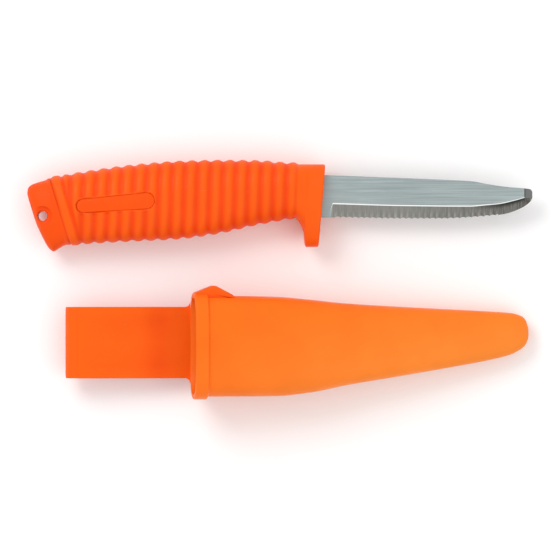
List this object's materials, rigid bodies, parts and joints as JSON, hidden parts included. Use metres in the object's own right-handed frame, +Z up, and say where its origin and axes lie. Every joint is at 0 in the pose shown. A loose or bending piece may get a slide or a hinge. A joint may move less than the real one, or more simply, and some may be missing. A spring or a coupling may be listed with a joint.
{
  "type": "rigging knife",
  "caption": "Floating rigging knife with ribbed grip, finger guard and blunt serrated blade, lying beside its tapered sheath with a belt strap.",
  "frame": {"origin": "middle of the footprint, on the surface that the knife and its sheath lie on", "axes": "+X toward the blade's tip and the sheath's nose, +Y toward the blade's spine, +Z up from the surface"},
  "size_m": [0.2248, 0.1064, 0.0372],
  "materials": {
    "blade": "satin, lengthwise brushed",
    "tang_core": "matte",
    "handle_body": "satin moulded",
    "float_core": "closed-cell foam",
    "cap_seal": "matte",
    "end_cap": "satin moulded",
    "badge": "satin moulded",
    "sheath_body": "satin, slightly translucent",
    "belt_strap": "satin, slightly translucent",
    "belt_clip": "satin, slightly translucent"
  },
  "bodies": {
    "knife": {"blade": "blade", "tang_core": "tang_core", "handle_body": "handle_body", "float_core": "float_core", "cap_seal": "cap_seal", "end_cap": "end_cap", "badge_front": "badge", "badge_back": "badge"},
    "sheath": {"sheath_body": "sheath_body", "belt_strap": "belt_strap"},
    "clip": {"belt_clip": "belt_clip"}
  },
  "joints": [
    {"name": "sheath_draw", "type": "slide", "parent": "knife", "child": "sheath", "axis": [1, 0, 0], "range_m": [0, 0.16]},
    {"name": "clip_flex", "type": "hinge", "parent": "sheath", "child": "clip", "pos_m": [-0.08962, -0.02818, 0.01614], "axis": [0, 1, 0], "range_deg": [0, 15], "stiffness_Nm_per_rad": 3}
  ]
}
